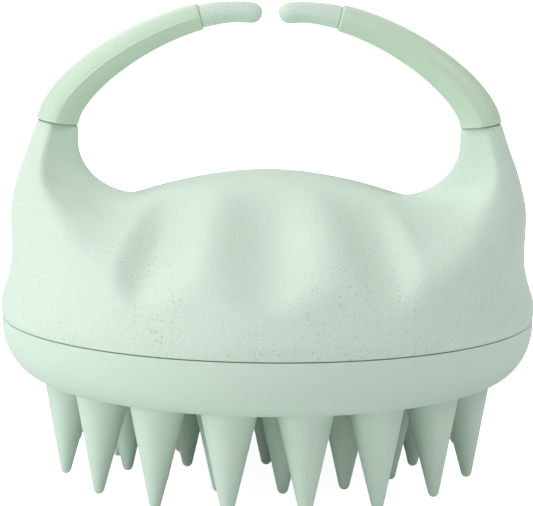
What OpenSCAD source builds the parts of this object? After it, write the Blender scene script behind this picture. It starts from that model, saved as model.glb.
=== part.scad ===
// Scalp massager brush: a hard hollow handle whose two arms almost close into a ring,
// over a round silicone pad of cone bristles. Millimetres, Z up.
// The brush stands on its bristle tips at z = 0, its axis is x = y = 0, the ring lies
// in the XZ plane and the three finger grooves face -Y.

/* [Base] */
// Radius of the round base at the seam
base_r = 50; // [48:0.5:52]
// Height of the seam between handle and pad
seam_z = 30.4; // [29.8:0.1:31]
// Width of the shadow gap at the seam
seam_gap = 0.2; // [0.15:0.05:0.5]
// Wall of the silicone pad
pad_wall = 2.2; // [1.8:0.1:2.6]
// Height of the pad from its flat underside to the seam
pad_depth = 11.1; // [10.8:0.1:12]

/* [Bristles] */
// Radius of a bristle's rounded tip
tip_r = 1; // [0.7:0.05:1.2]
// Growth of a bristle's radius for each millimetre of its length
taper = 0.225; // [0.19:0.005:0.235]
// Inward lean of the outer bristles, in degrees
lean = 3; // [0:0.5:4]
// Radius of the circle through the outer tips
outer_ring_r = 39.6; // [38.8:0.1:40]
// Bristles on each side of the outer ring
outer_count = 8; // [6:2:8]
// How much shorter a bristle at the side of the outer ring would be
side_rise = 2.2; // [0:0.1:3]
// Radius of the middle ring
middle_ring_r = 28.3; // [27.8:0.1:28.8]
// Bristles in the middle ring
middle_count = 15; // [12:1:15]
// Radius of the inner ring
inner_ring_r = 16.8; // [16:0.1:17.2]
// Bristles in the inner ring
inner_count = 9; // [6:1:9]
// Radius of the centre group
centre_ring_r = 5.8; // [5.6:0.1:6]
// Bristles in the centre group
centre_count = 3; // [2:1:3]
// Height of the inner rings' tips above the outer tips
inner_rise = 2; // [0:0.1:3]

/* [Handle] */
// Wall of the hollow handle
shell_wall = 2.4; // [2:0.1:3]
// Height of the flat tops of the horns, where the arms begin
horn_top_z = 66; // [65:0.1:67]
// Distance from the middle to the inner face of a horn
horn_in_x = 35.8; // [35:0.1:36.5]
// Half the width of the hollow between the palm crest and a horn
throat_rx = 11.6; // [11:0.1:12.2]
// Depth of that hollow below its centre
throat_rz = 9.75; // [9.2:0.05:10.2]
// Height of that hollow's centre
throat_z = 62.5; // [62:0.05:63]
// Slope of the crest where it runs into the hollow, in degrees
crest_slope = 21.5; // [19:0.5:23]
// How far the hollow widens towards the front and back of a horn
throat_flare = 11.5; // [10:0.1:13]
// Fall of the handle's top from its crest to the front rim
front_fall = 14.8; // [14:0.1:16]
// Fall of the handle's top from its crest to the back rim
back_fall = 16; // [14:0.5:18]
// Depth of a finger groove
groove_depth = 3.3; // [2:0.1:4]
// Spacing of the finger grooves at the crest
groove_pitch = 14.9; // [14.5:0.1:16]
// Extra spacing of the finger grooves at the rim
groove_fan = 8.5; // [7:0.5:9]

/* [Arms] */
// Half the width of a grip band where it meets the horn
band_root = 3.95; // [3.85:0.05:4.2]
// Half the width of a grip band where it meets the tip
band_end = 2.5; // [2.4:0.05:2.8]
// Half the width of the hard tip
tip_half = 1.95; // [1.8:0.05:2.1]
// Half the width of the hard spine inside a band
spine_half = 1.5; // [1.2:0.05:1.7]
// Depth of a band front to back, as a share of its width
band_depth = 1.16; // [1.05:0.01:1.25]
// Half the gap between the two arm tips
tip_gap = 1.6; // [1.4:0.1:2]
// Slope of the seam between a horn and its band, in degrees
seam_tilt = 8; // [5:0.5:9]

/* [Fixings] */
// Distance of a screw from the middle along X
screw_x = 26; // [24:0.5:28]
// Distance of a screw from the middle along Y
screw_y = 20; // [18:0.5:22]
// Radius of a screw's shank
screw_r = 1.45; // [1.25:0.05:1.5]
// Length of a screw under its head
screw_length = 10; // [8:0.5:11]

/* [Hidden] */

HARD = [0.79, 0.87, 0.82];
SOFT = [0.71, 0.83, 0.76];
PAD = [0.76, 0.86, 0.80];
INSIDE = [0.70, 0.78, 0.73];
STEEL = [0.62, 0.63, 0.65];

round_fn = 96;
slack = 0.1;

// Pad: the outer wall turns under through a quarter ellipse to the flat underside.
pad_z = seam_z - pad_depth;
pad_top = seam_z - seam_gap;
corner_w = 7.9;
corner_h = 10;
corner_x = base_r - corner_w;
corner_z = pad_z + corner_h;
corner_steps = 12;
outer_root = 3;

// Base plate: a dish that fills the pad and reaches up inside the handle's rim.
plate_floor = 3;
plate_wall = 2;
plate_shift = pad_wall + slack;
plate_z = pad_z + plate_shift;
plate_r = base_r - plate_shift;
plate_top = seam_z + 2.8;
rib_height = 7;
rib_width = 1.6;

// Screws: heads in counterbores under the plate's floor, shanks up into the handle's bosses.
head_r = 2.8;
head_h = 1.6;
bore_depth = 1.7;
boss_r = 3.8;
boss_z = plate_z + plate_floor;
boss_fillet_z = seam_z + 3;

// Handle: [height above the seam, half width along X, half depth along Y]. The horns are
// lofted past their tops, which a sloping plane then cuts.
horn_spare = 1.5;
body_stations = [
    [0, base_r, base_r],
    [2.6, base_r + 0.2, base_r + 0.2],
    [6.1, base_r - 0.9, base_r - 0.7],
    [9.6, base_r - 1.7, base_r - 2.2],
    [13.1, base_r - 1.8, base_r - 5],
    [16.6, base_r - 1.6, base_r - 10.5],
    [20.1, base_r - 1.6, base_r - 19],
    [23.6, base_r - 2.3, base_r - 27.5],
    [27.6, base_r - 3.5, base_r - 33.5],
    [31.6, base_r - 5, base_r - 37],
    [horn_top_z + horn_spare - seam_z, base_r - 6.8, base_r - 39.3]
];
station_last = len(body_stations) - 1;
hollow_last = station_last - 2;

// The crest of the handle's top, along X: a parabola that runs into the throat's arc.
throat_x = horn_in_x - throat_rx;
crest_z = meet(0)[2] + tan(crest_slope) * meet(0)[1] / 2;
throat_half_y = 5;
fall_reach = 47;
front_power = 1.8;
back_power = 1.45;
hold_from_z = 60;
hold_to_z = 66;
wall_top_z = 80;
palm_width = 28;
palm_depth = 1.6;
groove_share = 0.5;
groove_side = 0.32;
groove_ridge = 1.7;

// The handle's skin: rings up its wall, round its rim and in over its top. Its lines are
// closer together at the horns.
skin_sides = 104;
skin_crowd = 9;
wall_rings = 14;
top_rings = 16;
rim_drop = 0.3;
rim_inset = 0.025;
rim_ease = 0.6;

// Arms: the centre line of the right arm, in the XZ plane, is one Bezier curve.
root_x = (horn_in_x + base_r - 6.5) / 2;
root_way = [-sin(seam_tilt), cos(seam_tilt)];
root_pull = 9;
band_gap = 0.15;
arm_line = [
    [root_x, horn_top_z] + band_gap * root_way,
    [root_x, horn_top_z] + root_pull * root_way,
    [15.5, 89.8],
    [tip_gap, 86.4]
];
band_stop = 0.755;
band_power = 1.45;
spine_start = 0.075;
spine_root = 1.25;
tip_step = 0.35;
tip_power = 1.75;
round_from = 0.95;
round_angle = 84;
arm_sides = 20;
band_rings = 16;
tip_rings = 8;
end_rings = 5;

// ---- Curves and lofts ----

function clamp01(v) = min(1, max(0, v));
function smooth(v, a, b) = let (s = clamp01((v - a) / (b - a))) s * s * (3 - 2 * s);
function mix(a, b, s) = a + (b - a) * s;

// Catmull-Rom through the stations, at s station lengths from the first.
function station(list, s) =
    let (
        last = len(list) - 1,
        i = min(floor(s), last - 1),
        t = s - i,
        a = list[max(i - 1, 0)],
        b = list[i],
        c = list[i + 1],
        d = list[min(i + 2, last)]
    )
    0.5 * (2 * b + (c - a) * t + (2 * a - 5 * b + 4 * c - d) * t * t
        + (3 * b - a - 3 * c + d) * t * t * t);

function bezier(p, t) =
    p[0] * pow(1 - t, 3) + 3 * p[1] * t * pow(1 - t, 2) + 3 * p[2] * t * t * (1 - t) + p[3] * pow(t, 3);

function bezier_way(p, t) =
    let (d = (p[1] - p[0]) * pow(1 - t, 2) + 2 * (p[2] - p[1]) * t * (1 - t) + (p[3] - p[2]) * t * t)
    d / norm(d);

function power(v, e) = sign(v) * pow(abs(v), e);

// Skins a list of rings that all have the same number of points.
module loft(rings, closed = false) {
    n = len(rings[0]);
    m = len(rings);
    last = closed ? m - 1 : m - 2;
    sides = [
        for (r = [0 : last], i = [0 : n - 1])
            let (j = (i + 1) % n, low = r * n, high = (r + 1) % m * n)
            each [[high + j, low + j, low + i], [high + i, high + j, low + i]]
    ];
    caps = closed ? [] : [[for (i = [0 : n - 1]) i], [for (i = [n - 1 : -1 : 0]) (m - 1) * n + i]];
    polyhedron(points = [for (r = rings) each r], faces = concat(sides, caps), convexity = 10);
}

// Halves a range until it holds only the place where test(v) turns from 0 to 1.
function turn(test, low, high, steps = 18) =
    let (half = (low + high) / 2)
    steps == 0 ? half : test(half) ? turn(test, low, half, steps - 1) : turn(test, half, high, steps - 1);

// ---- Handle ----

// A point of the body's wall at an angle, s stations up, inset from the outside.
function wall_at(angle, s, inset) =
    let (p = station(body_stations, s))
    [(p[1] - inset) * cos(angle), (p[2] - inset) * sin(angle), seam_z + p[0]];

// Where the crest runs into the throat's arc: the arc's angle there, and the place.
function meet(sink) =
    let (
        rx = throat_rx + sink,
        rz = throat_rz + sink,
        a = atan(tan(crest_slope) * rx / rz)
    )
    [a, throat_x - rx * sin(a), throat_z - rz * cos(a)];

// Half of the top's outline at y = 0, sunk below the surface: u runs from 0 to 1 along the
// crest, to 2 round the throat and to 3 up the horn.
function crest_at(u, sink) =
    let (
        rx = throat_rx + sink,
        rz = throat_rz + sink,
        m = meet(sink),
        a = mix(-m[0], 90, u - 1)
    )
    u < 1 ? [m[1] * u, mix(crest_z - sink, m[2], u * u)] :
    u < 2 ? [throat_x + rx * sin(a), throat_z - rz * cos(a)] :
    [throat_x + rx, mix(throat_z, wall_top_z, u - 2)];

function spread(y) = 1 + throat_flare * y * y / (y * y + throat_half_y * throat_half_y) / horn_in_x;

function fall(y) =
    y > 0 ? back_fall * pow(y / fall_reach, back_power) : front_fall * pow(-y / fall_reach, front_power);

// Depth of the palm rest at the back and of the three finger grooves at the front.
function groove(x, y) =
    y > 0 ?
    palm_depth * smooth(y / fall_reach, 0.15, 0.75) * pow(cos(90 * clamp01(abs(x) / palm_width)), 2) :
    let (
        v = -y / fall_reach,
        pitch = groove_pitch + groove_fan * v,
        off = abs(x) - pitch * min(1, round(abs(x) / pitch)),
        share = abs(off) / pitch / (abs(x) > pitch ? groove_side : groove_share),
        bowl = pow(cos(90 * clamp01(share)), abs(x) > pitch ? 2 : groove_ridge)
    )
    groove_depth * smooth(v, 0.18, 0.7) * bowl;

function top_at(u, y, side, sink) =
    let (c = crest_at(u, sink), x = c[0] * spread(y), hold = 1 - smooth(c[1], hold_from_z, hold_to_z))
    [side * x, y, c[1] - (fall(y) + groove(x, y)) * hold];

// The outline's u where its sum of x and z comes to a point's.
function u_of(p, sink) =
    turn(function(u) let (q = top_at(u, p[1], 1, sink)) q[0] + q[2] > abs(p[0]) + p[2], 0, 3);

function above_top(p, sink) = let (q = top_at(u_of(p, sink), p[1], 1, sink)) p[2] - q[2] > 0;

// One line of the skin at an angle: up the wall, over the rim and in to the middle.
function skin_line(angle, inset, last, walls, tops) =
    let (
        side = cos(angle) < 0 ? -1 : 1,
        high = wall_at(angle, last, inset),
        horn = !above_top(high, inset),
        s = horn ? last : turn(function(s) above_top(wall_at(angle, s, inset), inset), 0, last),
        rim = wall_at(angle, s, inset),
        ease = horn ? 0 : clamp01((last - s) / rim_ease),
        u = horn ? turn(function(u) top_at(u, rim[1], 1, inset)[2] > rim[2], 1, 3) : u_of(rim, inset),
        wall_end = s - rim_drop * ease,
        top_start = 1 - rim_inset * ease,
        inner = top_at(u * top_start, rim[1] * top_start, side, inset),
        outer = wall_at(angle, wall_end, inset),
        edge = horn ? (inner + outer) / 2 : rim
    )
    concat(
        [for (k = [0 : walls - 1]) wall_at(angle, wall_end * k / (walls - 1), inset)],
        [(inner + outer + 2 * edge) / 4],
        [
            for (k = [0 : tops - 1])
                let (f = top_start * (1 - k / tops))
                top_at(u * f, rim[1] * f, side, inset)
        ]
    );

// A solid under the skin, down to a flat face at the first station.
module skin_solid(inset, last, sides, walls, tops) {
    turns = [for (i = [0 : sides - 1]) 360 * (i + 0.5) / sides];
    lines = [for (a = turns) skin_line(a - skin_crowd * sin(2 * a), inset, last, walls, tops)];
    rows = len(lines[0]);
    middle = top_at(0, 0, 1, inset);
    peak = sides * rows;
    skin = [
        for (i = [0 : sides - 1], k = [0 : rows - 2])
            let (j = (i + 1) % sides, a = i * rows + k, b = j * rows + k)
            each [[a, a + 1, b + 1], [a, b + 1, b]]
    ];
    fan = [for (i = [0 : sides - 1]) [i * rows + rows - 1, peak, (i + 1) % sides * rows + rows - 1]];
    base = [[for (i = [0 : sides - 1]) i * rows]];
    points = concat([for (l = lines) each l], [middle]);
    polyhedron(points = points, faces = concat(skin, fan, base), convexity = 10);
}

module screw_places() {
    for (x = [-screw_x, screw_x], y = [-screw_y, screw_y]) translate([x, y, 0]) children();
}

module bosses(from_z, to_z) {
    screw_places() translate([0, 0, from_z]) cylinder(r = boss_r, h = to_z - from_z, $fn = 24);
}

module handle_hollow() {
    difference() {
        skin_solid(shell_wall, hollow_last, skin_sides / 2, wall_rings / 2, top_rings / 2 + 2);
        bosses(seam_z - 1, wall_top_z);
    }
}

// The plate's seat, which opens the handle from below.
module plate_seat() {
    seat_h = plate_top + slack - seam_z;
    difference() {
        translate([0, 0, seam_z - 1]) cylinder(r = plate_r + 2 * slack, h = seat_h + 1, $fn = round_fn);
        bosses(0, wall_top_z);
    }
}

// What lies above the sloping tops of the horns.
module horn_cuts() {
    for (side = [-1, 1])
        translate([side * root_x, 0, horn_top_z]) rotate([0, -side * seam_tilt, 0])
            translate([-horn_in_x / 3, -horn_in_x / 3, 0]) cube(2 * horn_in_x / 3);
}

module handle_shell() {
    color(HARD) resize([0, 0, 0]) difference() {
        union() {
            difference() {
                skin_solid(0, station_last, skin_sides, wall_rings, top_rings);
                handle_hollow();
            }
            bosses(boss_z, boss_fillet_z);
        }
        plate_seat();
        horn_cuts();
        screw_places() translate([0, 0, boss_z - 1])
            cylinder(r = screw_r + slack / 2, h = screw_length + 1, $fn = 16);
    }
}

// ---- Base ----

// Outline of the dish at a distance inside the pad's outer face.
function dish_outline(inset) = [
    for (i = [0 : corner_steps])
        let (a = 90 * i / corner_steps)
        [corner_x + (corner_w - inset) * sin(a), corner_z - (corner_h - inset) * cos(a)]
];

module brush_pad() {
    color(PAD) rotate_extrude($fn = round_fn) polygon(concat(
        [[0, pad_z]],
        dish_outline(0),
        [[base_r, pad_top], [base_r - pad_wall, pad_top]],
        [for (i = [corner_steps : -1 : 0]) dish_outline(pad_wall)[i]],
        [[0, pad_z + pad_wall]]
    ));
}

module base_plate() {
    color(INSIDE) difference() {
        union() {
            rotate_extrude($fn = round_fn) polygon(concat(
                [[0, plate_z]],
                dish_outline(plate_shift),
                [[plate_r, plate_top], [plate_r - plate_wall, plate_top]],
                [[plate_r - plate_wall, boss_z], [0, boss_z]]
            ));
            for (a = [0, 90]) rotate([0, 0, a]) translate([-plate_r + plate_wall, -rib_width / 2, boss_z])
                cube([2 * (plate_r - plate_wall), rib_width, rib_height]);
        }
        screw_places() translate([0, 0, plate_z - 1]) {
            cylinder(r = screw_r + 3 * slack, h = plate_floor + 2, $fn = 32);
            cylinder(r = head_r + 3 * slack, h = bore_depth + 1, $fn = 32);
        }
    }
}

module base_screws() {
    color(STEEL) screw_places() translate([0, 0, plate_z + bore_depth]) {
        translate([0, 0, -head_h]) cylinder(r = head_r, h = head_h, $fn = 32);
        cylinder(r = screw_r, h = screw_length, $fn = 24);
    }
}

// ---- Bristles ----

// One bristle with its rounded tip at a height, on the ring's front (-Y) side. Its root is
// cut off level.
module bristle(ring_r, angle, rise, tilt, root_z) {
    slant = atan(taper);
    long = root_z - rise;
    rotate([0, 0, angle]) difference() {
        translate([0, -ring_r, rise + tip_r]) rotate([tilt, 0, 0]) rotate_extrude($fn = 32) polygon(concat(
            [for (i = [0 : 6]) let (a = -90 + (90 - slant) * i / 6) [tip_r * cos(a), tip_r * sin(a)]],
            [[tip_r / cos(slant) + taper * long, long], [0, long]]
        ));
        translate([-2 * tip_r - long, -ring_r - long, root_z]) cube([2 * long + 4 * tip_r, 2 * long, long]);
    }
}

module bristle_ring(ring_r, count, phase) {
    for (i = [0 : count - 1]) bristle(ring_r, phase + 360 * i / count, inner_rise, 0, pad_z);
}

// The outer ring has no bristle at its two sides. Its roots follow the pad's turned corner.
module outer_bristles() {
    step = 180 / (outer_count + 1);
    color(PAD) difference() {
        for (i = [0 : outer_count], side = [-1, 1])
            if (i != outer_count / 2)
                let (a = step * (i + 0.5))
                bristle(outer_ring_r, side * a, side_rise * pow(sin(a), 3), lean, pad_z + outer_root);
        rotate_extrude($fn = round_fn) polygon(concat(
            [[0, pad_z]],
            dish_outline(0),
            [[base_r, pad_top], [0, pad_top]]
        ));
    }
}

module middle_bristles() {
    color(PAD) bristle_ring(middle_ring_r, middle_count, 6);
}

module inner_bristles() {
    color(PAD) bristle_ring(inner_ring_r, inner_count, 18);
}

module centre_bristles() {
    color(PAD) bristle_ring(centre_ring_r, centre_count, 0);
}

// ---- Arms ----

// A ring across the arm at t, w and d being half its width and depth. Below 2, e draws its
// front and back in to a ridge.
function arm_ring(t, w, d, e) =
    let (c = bezier(arm_line, t), way = bezier_way(arm_line, t))
    [
        for (i = [0 : arm_sides - 1])
            let (a = 360 * i / arm_sides, u = w * power(cos(a), 2 / e))
            [c[0] + u * way[1], d * sin(a), c[1] - u * way[0]]
    ];

function band_half(t) = mix(band_root, band_end, pow(t / band_stop, 0.9));
function spine_half_at(t) = mix(spine_half * spine_root, spine_half, t / band_stop);

module grip_band() {
    outer = [
        for (k = [0 : band_rings])
            let (t = band_stop * k / band_rings)
            arm_ring(t, band_half(t), band_half(t) * band_depth, band_power)
    ];
    inner = [
        for (k = [band_rings : -1 : 0])
            let (t = band_stop * k / band_rings, w = spine_half_at(t) + slack)
            arm_ring(t, w, w * band_depth, 2)
    ];
    color(SOFT) loft(concat(outer, inner), true);
}

module arm_spine() {
    core = [
        for (k = [0 : band_rings])
            let (t = mix(spine_start, band_stop, k / band_rings), w = spine_half_at(t))
            arm_ring(t, w, w * band_depth, 2)
    ];
    tip = [
        for (k = [0 : tip_rings])
            let (
                t = mix(band_stop, round_from, k / tip_rings),
                w = mix(band_end - tip_step, tip_half, smooth(k / tip_rings, 0, 0.6))
            )
            arm_ring(t, w, w * band_depth, tip_power)
    ];
    rounded = [
        for (k = [1 : end_rings])
            let (a = round_angle * k / end_rings, t = mix(round_from, 1, sin(a)), w = tip_half * cos(a))
            arm_ring(t, w, w * band_depth, tip_power)
    ];
    color(HARD) loft(concat(core, tip, rounded));
}

module left_arm_spine() {
    mirror([1, 0, 0]) arm_spine();
}

module left_grip_band() {
    mirror([1, 0, 0]) grip_band();
}

module right_arm_spine() {
    arm_spine();
}

module right_grip_band() {
    grip_band();
}

handle_shell();
base_plate();
base_screws();
brush_pad();
outer_bristles();
middle_bristles();
inner_bristles();
centre_bristles();
left_arm_spine();
left_grip_band();
right_arm_spine();
right_grip_band();
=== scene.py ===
"""Looks of the scalp massager brush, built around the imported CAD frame.

The brush stands on its bristle tips at z = 0 with the finger grooves facing -Y. Shapes are worked out in
millimetres, with the same driving sizes as the CAD part, and are turned into metres when a mesh is made.
"""

import math

import bmesh
import bpy
import numpy as np
from mathutils import Matrix, Vector


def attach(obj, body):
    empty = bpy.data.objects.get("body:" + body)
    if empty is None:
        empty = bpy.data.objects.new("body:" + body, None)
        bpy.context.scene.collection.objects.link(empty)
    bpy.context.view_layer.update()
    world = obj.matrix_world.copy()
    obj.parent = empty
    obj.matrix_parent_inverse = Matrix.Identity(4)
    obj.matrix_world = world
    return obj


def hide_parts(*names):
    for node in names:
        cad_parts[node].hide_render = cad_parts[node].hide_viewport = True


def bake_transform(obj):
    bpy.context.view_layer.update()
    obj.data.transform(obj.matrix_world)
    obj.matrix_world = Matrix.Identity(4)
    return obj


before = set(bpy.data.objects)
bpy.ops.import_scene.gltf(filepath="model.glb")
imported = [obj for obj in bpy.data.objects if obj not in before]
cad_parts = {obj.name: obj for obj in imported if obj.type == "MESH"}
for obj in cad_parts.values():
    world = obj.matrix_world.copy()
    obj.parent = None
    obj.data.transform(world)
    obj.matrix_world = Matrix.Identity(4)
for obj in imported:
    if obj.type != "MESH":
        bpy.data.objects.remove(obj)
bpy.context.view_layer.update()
MM = 0.001

# ---- Driving sizes, in millimetres ----

BASE_R = 50.0
SEAM_Z = 30.4
SEAM_GAP = 0.2
PAD_WALL = 2.2
PAD_Z = 19.3
CORNER_W = 7.9
CORNER_H = 10.0
CORNER_X = BASE_R - CORNER_W
CORNER_Z = PAD_Z + CORNER_H

SHELL_WALL = 2.4
HORN_TOP_Z = 66.0
HORN_IN_X = 35.8
HORN_SPARE = 1.5
SEAT_R = 47.9
SEAT_TOP_Z = 33.3
BOSS_R = 3.8
BOSS_BORE_R = 1.5
BOSS_Z = 24.6
BOSS_TOP_Z = 46.0
SCREW_X = 26.0
SCREW_Y = 20.0

THROAT_RX = 11.6
THROAT_RZ = 9.75
THROAT_Z = 62.5
CREST_SLOPE = math.radians(21.5)
THROAT_FLARE = 11.5
THROAT_HALF_Y = 5.0
FRONT_FALL = 14.8
BACK_FALL = 16.0
FALL_REACH = 47.0
FRONT_POWER = 1.8
BACK_POWER = 1.45
HOLD_FROM_Z = 60.0
HOLD_TO_Z = 66.0
WALL_TOP_Z = 80.0
PALM_WIDTH = 28.0
PALM_DEPTH = 1.6
GROOVE_DEPTH = 3.3
GROOVE_PITCH = 14.9
GROOVE_FAN = 8.5
GROOVE_SHARE = 0.5
GROOVE_SIDE = 0.32
GROOVE_RIDGE = 1.7

# The body: [height above the seam, half width along X, half depth along Y].
STATIONS = np.array([
    [0, BASE_R, BASE_R],
    [2.6, BASE_R + 0.2, BASE_R + 0.2],
    [6.1, BASE_R - 0.9, BASE_R - 0.7],
    [9.6, BASE_R - 1.7, BASE_R - 2.2],
    [13.1, BASE_R - 1.8, BASE_R - 5],
    [16.6, BASE_R - 1.6, BASE_R - 10.5],
    [20.1, BASE_R - 1.6, BASE_R - 19],
    [23.6, BASE_R - 2.3, BASE_R - 27.5],
    [27.6, BASE_R - 3.5, BASE_R - 33.5],
    [31.6, BASE_R - 5, BASE_R - 37],
    [HORN_TOP_Z + HORN_SPARE - SEAM_Z, BASE_R - 6.8, BASE_R - 39.3],
])
STATION_LAST = len(STATIONS) - 1
HOLLOW_LAST = STATION_LAST - 2

# How softly edges are rounded: the rim of the handle's top low down and on the horns, and small edges.
RIM_SOFT = 1.6
HORN_SOFT = 0.9
EDGE_SOFT = 0.45

SEAM_TILT = math.radians(8)
ROOT_X = (HORN_IN_X + BASE_R - 6.5) / 2
ROOT_WAY = np.array([-math.sin(SEAM_TILT), math.cos(SEAM_TILT)])
ROOT = np.array([ROOT_X, HORN_TOP_Z])
BAND_GAP = 0.15
ARM_LINE = [ROOT + BAND_GAP * ROOT_WAY, ROOT + 9 * ROOT_WAY, np.array([15.5, 89.8]), np.array([1.6, 86.4])]
BAND_ROOT = 3.95
BAND_END = 2.5
TIP_HALF = 1.95
SPINE_HALF = 1.5
SPINE_ROOT = 1.25
SPINE_START = 0.075
BAND_DEPTH = 1.16
BAND_STOP = 0.755
BAND_POWER = 1.45
BAND_EDGE = 0.45
TIP_EDGE = 0.3
LINE_HEIGHT = 0.16
LINE_WIDTH = 0.16
TIP_STEP = 0.35
TIP_POWER = 1.75
ROUND_FROM = 0.95
SLACK = 0.1

TIP_R = 1.0
TAPER = 0.225
LEAN = math.radians(3)
INNER_RISE = 2.0
SIDE_RISE = 2.2
OUTER_RING = {"radius": 39.6, "count": 8}
RINGS = {
    "middle_bristles": {"radius": 28.3, "count": 15, "phase": 6},
    "inner_bristles": {"radius": 16.8, "count": 9, "phase": 18},
    "centre_bristles": {"radius": 5.8, "count": 3, "phase": 0},
}


# ---- Small maths ----

def smooth(v, low, high):
    s = np.clip((v - low) / (high - low), 0, 1)
    return s * s * (3 - 2 * s)


def mix(a, b, s):
    return a + (b - a) * s


def power(v, e):
    return np.sign(v) * np.abs(v) ** e


def turn(test, low, high, steps=30):
    """Halves a range for every element until it holds only the place where test turns from False to True."""
    low = np.array(low, float)
    high = np.array(high, float)
    for _ in range(steps):
        half = (low + high) / 2
        found = test(half)
        high = np.where(found, half, high)
        low = np.where(found, low, half)
    return (low + high) / 2


def level(raw, points, step=0.02):
    """The distance from each point to the surface raw = 0, and the direction away from it."""
    ways = np.eye(3) * step
    slope = np.stack([(raw(points + w) - raw(points - w)) / (2 * step) for w in ways], axis=1)
    size = np.linalg.norm(slope, axis=1)
    return raw(points) / size, slope / size[:, None]


def within_both(one, two, soft):
    """The surface of what two solids share, with the edge between them rounded."""
    (a, way_a), (b, way_b) = one, two
    share = np.clip(0.5 + 0.5 * (a - b) / soft, 0, 1)
    return mix(b, a, share) + soft * share * (1 - share), mix(way_b, way_a, share[:, None])


def within_either(one, two, soft):
    """The surface of two solids joined, with a fillet between them."""
    (a, way_a), (b, way_b) = one, two
    share = np.clip(0.5 + 0.5 * (b - a) / soft, 0, 1)
    return mix(b, a, share) - soft * share * (1 - share), mix(way_b, way_a, share[:, None])


def settle(points, field, rounds=5):
    """Moves each point onto the surface that field describes."""
    for _ in range(rounds):
        gap, way = field(points)
        points = points - (gap / (way * way).sum(axis=1))[:, None] * way
    return points


# ---- Meshes ----

def make_piece(name, points, faces, material, slot):
    mesh = bpy.data.meshes.new(name)
    mesh.from_pydata((np.asarray(points) * MM).tolist(), [], faces)
    work = bmesh.new()
    work.from_mesh(mesh)
    bmesh.ops.remove_doubles(work, verts=work.verts, dist=1e-7)
    bmesh.ops.recalc_face_normals(work, faces=work.faces)
    work.to_mesh(mesh)
    work.free()
    for face in mesh.polygons:
        face.use_smooth = True
    mesh.set_sharp_from_angle(angle=math.radians(50))
    mesh.materials.append(material)
    piece = bpy.data.objects.new(name, mesh)
    bpy.context.scene.collection.objects.link(piece)
    return piece


def loft_faces(rows, sides, closed=False):
    """Quads between neighbouring rings of points, with capped ends unless the rings close on themselves."""
    faces = []
    for r in range(rows if closed else rows - 1):
        low, high = r * sides, (r + 1) % rows * sides
        for i in range(sides):
            j = (i + 1) % sides
            faces.append((low + i, low + j, high + j, high + i))
    if not closed:
        faces.append(tuple(reversed(range(sides))))
        faces.append(tuple((rows - 1) * sides + i for i in range(sides)))
    return faces


def join_parts(parts):
    """Several (points, faces) as one."""
    points, faces, count = [], [], 0
    for some_points, some_faces in parts:
        points.append(np.asarray(some_points))
        faces += [tuple(count + i for i in f) for f in some_faces]
        count += len(some_points)
    return np.concatenate(points), faces


def revolve(profile, sides):
    """Points and faces of a closed profile of (radius, height) turned about Z."""
    angles = np.arange(sides) * 2 * math.pi / sides
    points = np.array([[r * math.cos(a), r * math.sin(a), z] for r, z in profile for a in angles])
    return points, loft_faces(len(profile), sides, closed=True)


def rounded_corner(x, z, r, start, steps=4):
    """A quarter circle about (x, z), from the angle start, in degrees."""
    turns = [math.radians(start + 90 * i / steps) for i in range(steps + 1)]
    return [(x + r * math.cos(t), z + r * math.sin(t)) for t in turns]


# ---- The handle's skin ----

def station(s):
    """Catmull-Rom through the body's stations, s stations up."""
    s = np.asarray(s, float)
    i = np.clip(np.floor(s).astype(int), 0, STATION_LAST - 1)
    t = (s - i)[..., None]
    a = STATIONS[np.maximum(i - 1, 0)]
    b = STATIONS[i]
    c = STATIONS[i + 1]
    d = STATIONS[np.minimum(i + 2, STATION_LAST)]
    square = 2 * a - 5 * b + 4 * c - d
    cube = 3 * b - a - 3 * c + d
    return 0.5 * (2 * b + (c - a) * t + square * t ** 2 + cube * t ** 3)


STATION_TABLE = station(np.linspace(0, STATION_LAST, 4001))

THROAT_X = HORN_IN_X - THROAT_RX


def meet(sink):
    """Where the crest runs into the throat's arc: the arc's angle there, and the place."""
    rx, rz = THROAT_RX + sink, THROAT_RZ + sink
    a = math.atan(math.tan(CREST_SLOPE) * rx / rz)
    return a, THROAT_X - rx * math.sin(a), THROAT_Z - rz * math.cos(a)


CREST_Z = meet(0)[2] + math.tan(CREST_SLOPE) * meet(0)[1] / 2


def wall_at(angle, s, inset=0):
    p = station(s)
    x = (p[..., 1] - inset) * np.cos(angle)
    y = (p[..., 2] - inset) * np.sin(angle)
    return np.stack([x, y, SEAM_Z + p[..., 0]], axis=-1)


def crest_at(u, sink=0):
    """Half of the top's outline at y = 0: along the crest, round the throat and up the horn."""
    rx, rz = THROAT_RX + sink, THROAT_RZ + sink
    low, end_x, end_z = meet(sink)
    a = mix(-low, math.pi / 2, u - 1)
    x = np.where(u < 1, end_x * u, np.where(u < 2, THROAT_X + rx * np.sin(a), THROAT_X + rx))
    z = np.where(u < 1, mix(CREST_Z - sink, end_z, u * u),
                 np.where(u < 2, THROAT_Z - rz * np.cos(a), mix(THROAT_Z, WALL_TOP_Z, u - 2)))
    return x, z


def fall(y):
    out = np.abs(y) / FALL_REACH
    return np.where(y > 0, BACK_FALL * out ** BACK_POWER, FRONT_FALL * out ** FRONT_POWER)


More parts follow.
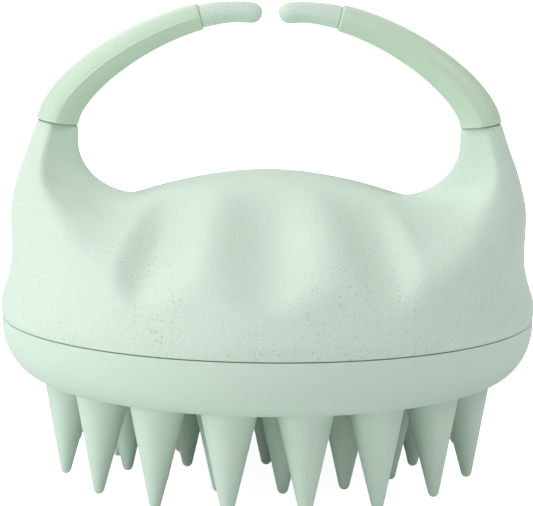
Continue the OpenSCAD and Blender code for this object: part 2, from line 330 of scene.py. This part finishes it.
def hollowing(x, y):
    """Depth of the palm rest at the back and of the three finger grooves at the front."""
    across = np.clip(np.abs(x) / PALM_WIDTH, 0, 1)
    palm = PALM_DEPTH * smooth(y / FALL_REACH, 0.15, 0.75) * np.cos(math.pi / 2 * across) ** 2
    v = -y / FALL_REACH
    pitch = GROOVE_PITCH + GROOVE_FAN * v
    off = np.abs(x) - pitch * np.minimum(1, np.round(np.abs(x) / pitch))
    beyond = np.abs(x) > pitch
    share = np.clip(np.abs(off) / (np.where(beyond, GROOVE_SIDE, GROOVE_SHARE) * pitch), 0, 1)
    bowl = np.cos(math.pi / 2 * share) ** np.where(beyond, 2, GROOVE_RIDGE)
    grooves = GROOVE_DEPTH * smooth(v, 0.18, 0.7) * bowl
    return np.where(y > 0, palm, grooves)


def top_at(u, y, sink=0):
    """A point of the handle's top on the +X side."""
    cx, cz = crest_at(u, sink)
    x = cx * (1 + THROAT_FLARE * y * y / (y * y + THROAT_HALF_Y ** 2) / HORN_IN_X)
    hold = 1 - smooth(cz, HOLD_FROM_Z, HOLD_TO_Z)
    return x, cz - (fall(y) + hollowing(x, y)) * hold


def u_of(points, sink=0):
    target = np.abs(points[:, 0]) + points[:, 2]

    def past(u):
        x, z = top_at(u, points[:, 1], sink)
        return x + z > target

    return turn(past, np.zeros(len(points)), np.full(len(points), 3.0))


def top_raw(points, sink=0):
    return points[:, 2] - top_at(u_of(points, sink), points[:, 1], sink)[1]


def wall_raw(points):
    z = points[:, 2] - SEAM_Z
    a = np.interp(z, STATION_TABLE[:, 0], STATION_TABLE[:, 1])
    b = np.interp(z, STATION_TABLE[:, 0], STATION_TABLE[:, 2])
    return np.hypot(points[:, 0] / a, points[:, 1] / b) - 1


def horn_cut(points):
    """The sloping plane at the top of each horn."""
    side = np.sign(points[:, 0])
    way = np.stack([-side * math.sin(SEAM_TILT), 0 * side, 0 * side + math.cos(SEAM_TILT)], axis=1)
    base = np.stack([side * ROOT_X, 0 * side, 0 * side + HORN_TOP_Z], axis=1)
    return ((points - base) * way).sum(axis=1), way


def handle_field(points):
    soft = mix(RIM_SOFT, HORN_SOFT, smooth(points[:, 2], 50, 62))
    skin = within_both(level(wall_raw, points), level(top_raw, points), soft)
    return within_both(skin, horn_cut(points), EDGE_SOFT)


def rim_of(angles, inset, last):
    """For each line up the wall: where it ends, in stations, and whether it ends on top of a horn."""
    count = np.zeros(len(angles))

    def past(s):
        points = wall_at(angles, s, inset)
        over = points[:, 2] - top_at(u_of(points, inset), points[:, 1], inset)[1] > 0
        if inset == 0:
            over |= horn_cut(points)[0] > 0
        return over

    s = turn(past, count, count + last)
    rim = wall_at(angles, s, inset)
    u = u_of(rim, inset)
    if inset == 0:
        horn = horn_cut(rim)[0] > -1e-4
        y = rim[:, 1]

        def above(v):
            x, z = top_at(v, y)
            return horn_cut(np.stack([x, y, z], axis=1))[0] > 0

        u = np.where(horn, turn(above, count + 1, count + 3), u)
    return s, u, rim


def spaced_angles(sides):
    """Angles whose lines are evenly spaced along the rim, and so close together at the horns' ridges."""
    many = 2880
    fine = (np.arange(many) + 0.5) * 2 * math.pi / many
    rim = rim_of(fine, 0, STATION_LAST)[2]
    steps = np.linalg.norm(np.roll(rim, -1, axis=0) - rim, axis=1) + 0.08
    run = np.concatenate([[0], np.cumsum(steps)])
    marks = (np.arange(sides) + 0.5) / sides * run[-1]
    return np.interp(marks, run, np.append(fine, fine[0] + 2 * math.pi))


# Rows of the handle's mesh up its wall, over its rim and in over its top, and how tightly the first and
# last of these crowd towards the rim. The rim's own rows reach this far to each side of it.
WALL_ROWS, EDGE_ROWS, TOP_ROWS = 40, 13, 56
WALL_CROWD, TOP_CROWD = 1.5, 1.4
EDGE_REACH = 0.6

# The handle's lower edge, rounded: how far in from the seam's circle, and how far up.
SEAM_EDGE = ((0.01, 0.08), (0.05, 0.02), (0.14, 0))


def skin_lines(angles):
    """Lines of points up the wall, over the rim or across a horn's top, and in to the middle."""
    s_end, u_end, rim = rim_of(angles, 0, STATION_LAST)
    side = np.where(np.cos(angles) < 0, -1.0, 1.0)
    lines = []
    for angle, s, u, edge, sign in zip(angles, s_end, u_end, rim, side):
        wall = wall_at(angle, np.linspace(0, s, 160))
        f = np.linspace(1, 0, 220)
        x, z = top_at(u * f, edge[1] * f)
        top = np.stack([sign * x, edge[1] * f, z], axis=1)
        line = np.concatenate([wall, mix(wall[-1], top[0], np.linspace(0, 1, 12)[1:-1, None]), top])
        run = np.concatenate([[0], np.cumsum(np.linalg.norm(np.diff(line, axis=0), axis=1))])
        rim_in, rim_out = run[len(wall) - 1] - EDGE_REACH, run[-len(top)] + EDGE_REACH
        up = rim_in * (1 - (1 - np.arange(WALL_ROWS) / WALL_ROWS) ** WALL_CROWD)
        over = np.linspace(rim_in, rim_out, EDGE_ROWS)
        down = mix(rim_out, run[-1], ((np.arange(TOP_ROWS) + 1) / (TOP_ROWS + 1)) ** TOP_CROWD)
        marks = np.concatenate([up, over, down])
        lines.append(np.stack([np.interp(marks, run, line[:, k]) for k in range(3)], axis=1))
    return np.array(lines)


def hollow_lines(angles, rows_up=10, rows_in=14):
    """Lines of the hollow's skin, above the plate's seat."""
    s_end, u_end, rim = rim_of(angles, SHELL_WALL, HOLLOW_LAST)
    side = np.where(np.cos(angles) < 0, -1.0, 1.0)
    lines = []
    for angle, s, u, edge, sign in zip(angles, s_end, u_end, rim, side):
        wall = wall_at(angle, np.linspace(1.2, s, rows_up), SHELL_WALL)
        f = np.linspace(0.97, 0, rows_in, endpoint=False)
        x, z = top_at(u * f, edge[1] * f, SHELL_WALL)
        lines.append(np.concatenate([wall, np.stack([sign * x, edge[1] * f, z], axis=1)]))
    return np.array(lines)


def circle(angles, r, z):
    return np.stack([r * np.cos(angles), r * np.sin(angles), 0 * angles + z], axis=1)


def build_handle(material, sides=384):
    angles = spaced_angles(sides)
    lines = skin_lines(angles)
    rows = lines.shape[1]
    lines = settle(lines.reshape(-1, 3), handle_field).reshape(sides, rows, 3)
    peak = settle(np.array([[1e-4, 0, CREST_Z]]), handle_field)
    lip = [circle(angles, BASE_R - d, SEAM_Z + h) for d, h in SEAM_EDGE]
    seat = [circle(angles, SEAT_R, z) for z in (SEAM_Z, SEAT_TOP_Z)]
    hollow = hollow_lines(angles)
    ring_list = [hollow[:, k] for k in reversed(range(hollow.shape[1]))] + seat[::-1] + lip[::-1]
    ring_list += [lines[:, k] for k in range(1, rows)]
    inner_peak = np.array([[0, 0, top_at(np.zeros(1), np.zeros(1), SHELL_WALL)[1][0]]])
    points = np.concatenate(ring_list + [inner_peak, peak])
    count = len(ring_list)
    faces = loft_faces(count, sides)[:-2]
    low, high = count * sides, count * sides + 1
    for i in range(sides):
        j = (i + 1) % sides
        faces.append((low, j, i))
        faces.append((high, (count - 1) * sides + i, (count - 1) * sides + j))
    parts = [(points, faces)]
    profile = [(BOSS_BORE_R, BOSS_Z), (BOSS_R, BOSS_Z), (BOSS_R, BOSS_TOP_Z), (BOSS_BORE_R, BOSS_TOP_Z)]
    for x in (-SCREW_X, SCREW_X):
        for y in (-SCREW_Y, SCREW_Y):
            boss, boss_faces = revolve(profile, 32)
            parts.append((boss + [x, y, 0], boss_faces))
    return make_piece("handle", *join_parts(parts), material, "hard_handle")


# ---- The pad and its bristles ----

def build_pad(material, sides=320):
    top = SEAM_Z - SEAM_GAP
    turns = np.radians(np.linspace(0, 90, 29))
    outer = [(CORNER_X + CORNER_W * math.sin(t), CORNER_Z - CORNER_H * math.cos(t)) for t in turns]
    inner = [(CORNER_X + (CORNER_W - PAD_WALL) * math.sin(t), CORNER_Z - (CORNER_H - PAD_WALL) * math.cos(t))
             for t in turns[::-1]]
    radii = (0.01, 14, 28)
    flat = [(r, PAD_Z) for r in radii]
    edge = 0.12
    lip = rounded_corner(BASE_R - edge, top - edge, edge, 0) + [(BASE_R - PAD_WALL, top)]
    inside = [(r, PAD_Z + PAD_WALL) for r in reversed(radii)]
    profile = flat + outer + lip + inner + inside
    return make_piece("pad", *revolve(profile, sides), material, "silicone_pad")


def pad_raw(points):
    r = np.hypot(points[:, 0], points[:, 1])
    out = np.maximum(r - CORNER_X, 0) / CORNER_W
    down = np.maximum(CORNER_Z - points[:, 2], 0) / CORNER_H
    return np.hypot(out, down) - 1


def cone_field(points, tip, axis):
    """A cone with a rounded tip: tip is the middle of the tip's ball, axis points up."""
    slant = math.atan(TAPER)
    along = (points - tip) @ axis
    away = points - tip - along[:, None] * axis
    off = np.linalg.norm(away, axis=1) + 1e-9
    gap = off * math.cos(slant) - along * math.sin(slant) - TIP_R
    way = away / off[:, None] * math.cos(slant) - axis * math.sin(slant)
    return gap, way


# The fillet at a bristle's root, and the rings that skin it beyond the cone, as shares of its size.
FILLET = 0.4
SKIRT = (0.15, 0.35, 0.6, 0.95)

# Rows of a bristle's mesh round its tip and up its cone, and how tightly the cone's rows crowd at the root.
TIP_ROWS, CONE_ROWS = 9, 22
CONE_CROWD = 1.35

# How far the last ring of the root lies under the pad's skin, and how far inside the pad the end cap is.
ROOT_SINK = 0.12
CORE_RISE = 1.1


def bristle(ring_r, angle, rise, lean, sides=48):
    """One bristle: a cone whose root flares softly into the pad, closed inside the pad's wall."""
    slant = math.atan(TAPER)
    turn_z = Matrix.Rotation(angle, 3, "Z")
    axis = np.array(turn_z @ Vector((0, math.sin(lean), math.cos(lean))))
    side_one = np.array(turn_z @ Vector((1, 0, 0)))
    side_two = np.cross(axis, side_one)
    tip = np.array(turn_z @ Vector((0, -ring_r, rise + TIP_R)))
    turns = np.arange(sides) * 2 * math.pi / sides
    round_way = np.cos(turns)[:, None] * side_one + np.sin(turns)[:, None] * side_two

    def ring(radius, along):
        return tip + along[:, None] * axis + radius[:, None] * round_way

    def radius_at(along):
        return TIP_R / math.cos(slant) + TAPER * along

    ones = np.ones(sides)

    def reach(along):
        return pad_raw(ring(radius_at(along), along)) < 0

    root = turn(reach, ones * 5, ones * 26)
    rings = []
    for t in np.radians(np.linspace(-84, -math.degrees(slant), TIP_ROWS)):
        rings.append(ring(ones * TIP_R * math.cos(t), ones * TIP_R * math.sin(t)))
    start = -TIP_R * math.sin(slant)
    for f in 1 - (1 - np.arange(1, CONE_ROWS + 1) / CONE_ROWS) ** CONE_CROWD:
        along = mix(start, root, f)
        rings.append(ring(radius_at(along), along))
    free = len(rings)
    rim = rings[-1]
    out = rim - tip - ((rim - tip) @ axis)[:, None] * axis
    out /= np.linalg.norm(out, axis=1)[:, None]
    for step in SKIRT:
        rings.append(rim + out * step * FILLET)
    points = np.concatenate(rings)
    skirt = slice(free * sides, len(points))
    points[skirt] = settle(points[skirt], lambda p: level(pad_raw, p))

    def joined(p):
        return within_either(cone_field(p, tip, axis), level(pad_raw, p), FILLET)

    body = slice(TIP_ROWS * sides, len(points) - sides)
    points[body] = settle(points[body], joined)
    points[-sides:] -= ROOT_SINK * level(pad_raw, points[-sides:])[1]
    inner = rim + CORE_RISE * axis
    core = inner.mean(axis=0)
    points = np.concatenate([points, inner, mix(inner, core, 0.6)])
    return points, loft_faces(len(points) // sides, sides)


def build_bristles(name, places, material):
    parts = [bristle(*place) for place in places]
    return make_piece(name, *join_parts(parts), material, "silicone_pad")


def outer_places():
    step = 180 / (OUTER_RING["count"] + 1)
    places = []
    for i in range(OUTER_RING["count"] + 1):
        for side in (-1, 1):
            if 2 * i != OUTER_RING["count"]:
                a = math.radians(step * (i + 0.5))
                places.append((OUTER_RING["radius"], side * a, SIDE_RISE * math.sin(a) ** 3, LEAN))
    return places


def ring_places(radius, count, phase):
    return [(radius, math.radians(phase + 360 * i / count), INNER_RISE, 0.0) for i in range(count)]


# ---- The arms ----

def arm_point(t):
    p = ARM_LINE
    t = np.asarray(t, float)[..., None]
    return p[0] * (1 - t) ** 3 + 3 * p[1] * t * (1 - t) ** 2 + 3 * p[2] * t * t * (1 - t) + p[3] * t ** 3


def arm_way(t):
    p = ARM_LINE
    t = np.asarray(t, float)[..., None]
    d = (p[1] - p[0]) * (1 - t) ** 2 + 2 * (p[2] - p[1]) * t * (1 - t) + (p[3] - p[2]) * t * t
    return d / np.linalg.norm(d, axis=-1)[..., None]


def arm_ring(t, w, d, e, sides, raised=0.0):
    """A ring across the arm at t, w and d being half its width and depth.

    Below 2, e draws its front and back in to a ridge. raised is the height of the fine moulding line there.
    """
    c, way = arm_point(t), arm_way(t)
    a = np.arange(sides) * 2 * math.pi / sides
    u = w * power(np.cos(a), 2 / e)
    v = d * np.sin(a) * (1 + raised / d * np.exp(-(u / LINE_WIDTH) ** 2))
    return np.stack([c[0] + u * way[1], v, c[1] - u * way[0]], axis=1)


def arm_length(t_from, t_to):
    line = arm_point(np.linspace(t_from, t_to, 60))
    return np.linalg.norm(np.diff(line, axis=0), axis=1).sum()


def run_of(length, t):
    """How much t grows over a short length of the arm that begins near t."""
    near = 0.02
    return length * near / arm_length(t, t + near)


def mirrored(points, side):
    return points * np.array([side, 1, 1])


def band_half(t):
    return mix(BAND_ROOT, BAND_END, (t / BAND_STOP) ** 0.92)


def spine_half(t):
    return mix(SPINE_HALF * SPINE_ROOT, SPINE_HALF, t / BAND_STOP)


def build_band(name, side, material, sides=112, rows=96, core_rows=24):
    root_step = run_of(BAND_EDGE, 0)
    end_step = run_of(BAND_EDGE, BAND_STOP - 0.02)
    rings = []

    def add(t, inset):
        w = band_half(t) - inset
        raised = LINE_HEIGHT * smooth(t, 0.1, 0.3) * (1 - smooth(t, BAND_STOP - 0.05, BAND_STOP - 0.01))
        rings.append(arm_ring(t, w, (w + inset) * BAND_DEPTH - inset, BAND_POWER, sides, raised))

    def add_core(t):
        w = spine_half(t) + SLACK
        rings.append(arm_ring(t, w, w * BAND_DEPTH, 2, sides))

    quarter = np.radians(np.linspace(0, 90, 5))
    for q in quarter[:-1]:
        add(root_step * (1 - math.sin(q)), BAND_EDGE * (1 - math.cos(q - math.pi / 2)))
    for t in np.linspace(root_step, BAND_STOP - end_step, rows):
        add(t, 0)
    for q in quarter[1:]:
        add(BAND_STOP - end_step * (1 - math.sin(q)), BAND_EDGE * (1 - math.cos(q)))
    for t in np.linspace(BAND_STOP, 0, core_rows):
        add_core(t)
    points = mirrored(np.concatenate(rings), side)
    return make_piece(name, points, loft_faces(len(rings), sides, closed=True), material, "soft_band")


def build_spine(name, side, material, sides=64, rows=26, end_rows=14):
    rings = []
    for t in np.linspace(SPINE_START, BAND_STOP - 0.004, rows):
        w = spine_half(t)
        rings.append(arm_ring(t, w, w * BAND_DEPTH, 2, sides))
    neck = BAND_END - TIP_STEP
    step = run_of(TIP_EDGE, BAND_STOP)
    for q in np.radians(np.linspace(0, 90, 5)):
        w = neck - TIP_EDGE * (1 - math.sin(q))
        rings.append(arm_ring(BAND_STOP + step * (1 - math.cos(q)), w, w * BAND_DEPTH, TIP_POWER, sides))
    for k in np.linspace(0, 1, rows)[1:]:
        t = mix(BAND_STOP + step, ROUND_FROM, k)
        w = mix(neck, TIP_HALF, smooth(k, 0, 0.7))
        rings.append(arm_ring(t, w, w * BAND_DEPTH, TIP_POWER, sides))
    for q in np.radians(np.linspace(0, 88, end_rows))[1:]:
        w = TIP_HALF * math.cos(q) ** 0.85
        t, e = mix(ROUND_FROM, 1, math.sin(q)), mix(TIP_POWER, 2, math.sin(q))
        rings.append(arm_ring(t, w, w * BAND_DEPTH, e, sides))
    points = mirrored(np.concatenate(rings), side)
    return make_piece(name, points, loft_faces(len(rings), sides), material, "hard_handle")


# ---- Materials ----

def new_material(name):
    material = bpy.data.materials.new(name)
    material.use_nodes = True
    return material, material.node_tree, material.node_tree.nodes["Principled BSDF"]


def node(tree, kind, **values):
    made = tree.nodes.new(kind)
    for key, value in values.items():
        if key in made.inputs:
            made.inputs[key].default_value = value
        else:
            setattr(made, key, value)
    return made


def coordinates(tree):
    return node(tree, "ShaderNodeTexCoord").outputs["Object"]


def noise(tree, where, scale, detail=3.0, rough=0.5):
    made = node(tree, "ShaderNodeTexNoise", Scale=scale, Detail=detail, Roughness=rough)
    tree.links.new(where, made.inputs["Vector"])
    return made.outputs["Fac"]


def ramp(tree, value, *stops):
    made = node(tree, "ShaderNodeValToRGB")
    elements = made.color_ramp.elements
    while len(elements) < len(stops):
        elements.new(0.5)
    for element, (place, colour) in zip(elements, stops):
        element.position = place
        element.color = (*colour, 1) if isinstance(colour, tuple) else (colour, colour, colour, 1)
    tree.links.new(value, made.inputs["Fac"])
    return made.outputs["Color"]


def blend_colours(tree, amount, one, two):
    made = node(tree, "ShaderNodeMix", data_type="RGBA")
    for value, socket in ((amount, made.inputs[0]), (one, made.inputs[6]), (two, made.inputs[7])):
        if isinstance(value, bpy.types.NodeSocket):
            tree.links.new(value, socket)
        elif isinstance(value, tuple):
            socket.default_value = (*value, 1)
        else:
            socket.default_value = value
    return made.outputs[2]


def times(tree, one, two):
    made = node(tree, "ShaderNodeMath", operation="MULTIPLY")
    for value, socket in zip((one, two), made.inputs):
        if isinstance(value, bpy.types.NodeSocket):
            tree.links.new(value, socket)
        else:
            socket.default_value = value
    return made.outputs[0]


def bump(tree, shader, height, strength, distance):
    made = node(tree, "ShaderNodeBump", Strength=strength, Distance=distance)
    tree.links.new(height, made.inputs["Height"])
    tree.links.new(made.outputs["Normal"], shader.inputs["Normal"])


def specks(tree, where, scale, size):
    """Sparse round specks: 1 inside a speck and 0 outside."""
    cells = node(tree, "ShaderNodeTexVoronoi", Scale=scale, Randomness=1.0)
    tree.links.new(where, cells.inputs["Vector"])
    dots = ramp(tree, cells.outputs["Distance"], (0, 1.0), (size * 0.6, 1.0), (size, 0.0))
    colour = node(tree, "ShaderNodeSeparateColor")
    tree.links.new(cells.outputs["Color"], colour.inputs["Color"])
    chosen = ramp(tree, colour.outputs["Red"], (0.62, 0.0), (0.72, 1.0))
    return times(tree, dots, chosen)


def plastic_colour(tree, where, plain, shade):
    broad = noise(tree, where, 35, 2.0)
    return blend_colours(tree, ramp(tree, broad, (0.35, 0.0), (0.65, 1.0)), plain, shade)


def hard_material():
    """Matte moulded plastic with fine plant fibre specks; the specks are drawn stronger low on the body,
    which paints shade onto the lower wall.
    """
    material, tree, shader = new_material("speckled_plastic")
    where = coordinates(tree)
    base = plastic_colour(tree, where, (0.640, 0.775, 0.675), (0.625, 0.760, 0.660))
    fine = ramp(tree, noise(tree, where, 2600, 2.0), (0.54, 0.0), (0.62, 1.0))
    large = specks(tree, where, 1050, 0.36)
    split = node(tree, "ShaderNodeSeparateXYZ")
    tree.links.new(where, split.inputs["Vector"])
    # Painted shade: the specks are at full strength below 36 mm and fade to half by 56 mm, so the lower body
    # is drawn darker than the top.
    low = ramp(tree, split.outputs["Z"], (0.036, 1.0), (0.056, 0.5))
    patches_and_painted_low_shade = times(tree, low, ramp(tree, noise(tree, where, 60, 3.0), (0.4, 0.3), (0.6, 1.0)))
    colour = blend_colours(tree, times(tree, fine, times(tree, patches_and_painted_low_shade, 0.30)), base, (0.40, 0.50, 0.43))
    colour = blend_colours(tree, times(tree, large, times(tree, patches_and_painted_low_shade, 0.42)), colour, (0.36, 0.45, 0.40))
    tree.links.new(colour, shader.inputs["Base Color"])
    rough = ramp(tree, noise(tree, where, 260, 3.0), (0.3, 0.50), (0.7, 0.60))
    tree.links.new(rough, shader.inputs["Roughness"])
    shader.inputs["Specular IOR Level"].default_value = 0.35
    bump(tree, shader, noise(tree, where, 1500, 4.0, 0.6), 0.25, 0.00005)
    return material


def silicone_material():
    """Satin silicone, a little soft to the light, with a faint dusty grain."""
    material, tree, shader = new_material("satin_silicone")
    where = coordinates(tree)
    base = plastic_colour(tree, where, (0.610, 0.755, 0.655), (0.595, 0.740, 0.638))
    tree.links.new(base, shader.inputs["Base Color"])
    rough = ramp(tree, noise(tree, where, 180, 3.0), (0.3, 0.48), (0.7, 0.58))
    tree.links.new(rough, shader.inputs["Roughness"])
    shader.inputs["Specular IOR Level"].default_value = 0.35
    shader.inputs["Subsurface Weight"].default_value = 0.12
    shader.inputs["Subsurface Radius"].default_value = (1.0, 1.3, 1.1)
    shader.inputs["Subsurface Scale"].default_value = 0.0015
    bump(tree, shader, noise(tree, where, 900, 3.0), 0.12, 0.00004)
    return material


def band_material():
    """Soft over-moulded rubber: smoother and a little greener than the handle."""
    material, tree, shader = new_material("soft_rubber")
    where = coordinates(tree)
    base = plastic_colour(tree, where, (0.575, 0.735, 0.575), (0.560, 0.720, 0.560))
    tree.links.new(base, shader.inputs["Base Color"])
    rough = ramp(tree, noise(tree, where, 220, 3.0), (0.3, 0.40), (0.7, 0.48))
    tree.links.new(rough, shader.inputs["Roughness"])
    shader.inputs["Specular IOR Level"].default_value = 0.4
    shader.inputs["Sheen Weight"].default_value = 0.1
    bump(tree, shader, noise(tree, where, 700, 3.0), 0.1, 0.00004)
    return material


def inner_material():
    """Plain moulded plastic with fine flow marks."""
    material, tree, shader = new_material("inner_plastic")
    where = coordinates(tree)
    base = plastic_colour(tree, where, (0.56, 0.68, 0.60), (0.53, 0.65, 0.57))
    tree.links.new(base, shader.inputs["Base Color"])
    shader.inputs["Roughness"].default_value = 0.5
    bump(tree, shader, noise(tree, where, 400, 3.0), 0.2, 0.00005)
    return material


def steel_material():
    """Bright turned steel with fine rings."""
    material, tree, shader = new_material("screw_steel")
    where = coordinates(tree)
    grain = noise(tree, where, 2500, 2.0)
    base = ramp(tree, grain, (0.3, (0.50, 0.50, 0.52)), (0.7, (0.62, 0.62, 0.64)))
    tree.links.new(base, shader.inputs["Base Color"])
    shader.inputs["Metallic"].default_value = 1.0
    shader.inputs["Roughness"].default_value = 0.32
    bump(tree, shader, grain, 0.15, 0.00002)
    return material


def floor_material():
    material, tree, shader = new_material("pale_floor")
    where = coordinates(tree)
    base = ramp(tree, noise(tree, where, 3, 2.0), (0.3, 0.90), (0.7, 0.92))
    tree.links.new(base, shader.inputs["Base Color"])
    shader.inputs["Roughness"].default_value = 0.9
    shader.inputs["Specular IOR Level"].default_value = 0.1
    shader.inputs["Emission Color"].default_value = (1, 1, 1, 1)
    away = node(tree, "ShaderNodeVectorMath", operation="LENGTH")
    tree.links.new(where, away.inputs[0])
    glow = ramp(tree, away.outputs["Value"], (0.08, 0.86), (0.35, 0.9))
    seen = node(tree, "ShaderNodeLightPath").outputs["Is Camera Ray"]
    tree.links.new(times(tree, glow, seen), shader.inputs["Emission Strength"])
    return material


# ---- Stage, light and camera ----

def build_floor():
    work = bmesh.new()
    bmesh.ops.create_grid(work, x_segments=8, y_segments=8, size=4)
    mesh = bpy.data.meshes.new("floor")
    work.to_mesh(mesh)
    work.free()
    mesh.materials.append(floor_material())
    floor = bpy.data.objects.new("floor", mesh)
    bpy.context.scene.collection.objects.link(floor)


def add_light(name, place, size, watts, colour=(1, 1, 1)):
    light = bpy.data.lights.new(name, "AREA")
    light.shape = "DISK"
    light.size = size
    light.energy = watts
    light.color = colour
    lamp = bpy.data.objects.new(name, light)
    lamp.location = place
    lamp.rotation_euler = (AIM - place).to_track_quat("-Z", "Y").to_euler()
    bpy.context.scene.collection.objects.link(lamp)


# Lamps stand round the brush: [degrees to the right of the front, degrees above the table, watts].
AIM = Vector((0, 0, 0.045))
LAMP_REACH = 1.0
LAMP_SIZE = 0.45
SKY_STRENGTH = 0.325
LAMPS = {
    "key_left": (-60, 45, 2.6),
    "key_low": (-80, 12, 2.15),
    "front_low": (-40, 12, 1.5),
    "high_left": (-110, 45, 1.0),
    "fill_right": (70, 45, 2.65),
    "back_left": (-150, 45, 1.9),
    "back_right": (150, 45, 0.8),
}


def build_lights():
    world = bpy.data.worlds.new("studio")
    world.use_nodes = True
    sky = world.node_tree.nodes["Background"]
    sky.inputs["Color"].default_value = (1, 1, 1, 1)
    sky.inputs["Strength"].default_value = SKY_STRENGTH
    bpy.context.scene.world = world
    for name, (swing, rise, watts) in LAMPS.items():
        a, e = math.radians(swing), math.radians(rise)
        way = Vector((math.sin(a) * math.cos(e), -math.cos(a) * math.cos(e), math.sin(e)))
        add_light(name, AIM + way * LAMP_REACH, LAMP_SIZE, watts)


def build_camera():
    """A long lens, a little above the brush, tilted by half a degree."""
    aim = Vector((-0.3, 0, 41.5)) * MM
    distance = 480 * MM
    rise, swing, roll = math.radians(8.85), math.radians(-0.18), math.radians(0.58)
    back = Vector((math.sin(swing) * math.cos(rise), -math.cos(swing) * math.cos(rise), math.sin(rise)))
    data = bpy.data.cameras.new("camera")
    data.lens = 171.6
    data.sensor_width = 36
    data.clip_start = 0.02
    data.clip_end = 20
    camera = bpy.data.objects.new("camera", data)
    camera.location = aim + back * distance
    turned = (-back).to_track_quat("-Z", "Y").to_matrix() @ Matrix.Rotation(roll, 3, "Z")
    camera.rotation_euler = turned.to_euler()
    bpy.context.scene.collection.objects.link(camera)
    bpy.context.scene.camera = camera


# ---- Everything together ----

def main():
    build_camera()
    build_lights()
    build_floor()
    hard, silicone, band = hard_material(), silicone_material(), band_material()

    handle = build_handle(hard)
    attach(handle, "handle")
    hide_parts("handle_shell")

    pad = build_pad(silicone)
    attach(pad, "handle")
    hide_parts("brush_pad")

    groups = {"outer_bristles": outer_places()}
    groups.update({name: ring_places(**ring) for name, ring in RINGS.items()})
    for name, places in groups.items():
        bristles = build_bristles(name.replace("_bristles", "_cones"), places, silicone)
        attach(bristles, "handle")
        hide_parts(name)

    for name, side in (("left", -1), ("right", 1)):
        grip = build_band(name + "_band", side, band)
        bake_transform(grip)
        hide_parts(name + "_grip_band")
        spine = build_spine(name + "_tip", side, hard)
        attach(spine, name + "_arm")
        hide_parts(name + "_arm_spine")

    inner, steel = inner_material(), steel_material()
    for name, material in (("base_plate", inner), ("base_screws", steel)):
        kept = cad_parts[name]
        kept.data.materials.clear()
        kept.data.materials.append(material)

    bpy.context.scene.view_settings.view_transform = "Standard"


main()

bpy.context.view_layer.update()
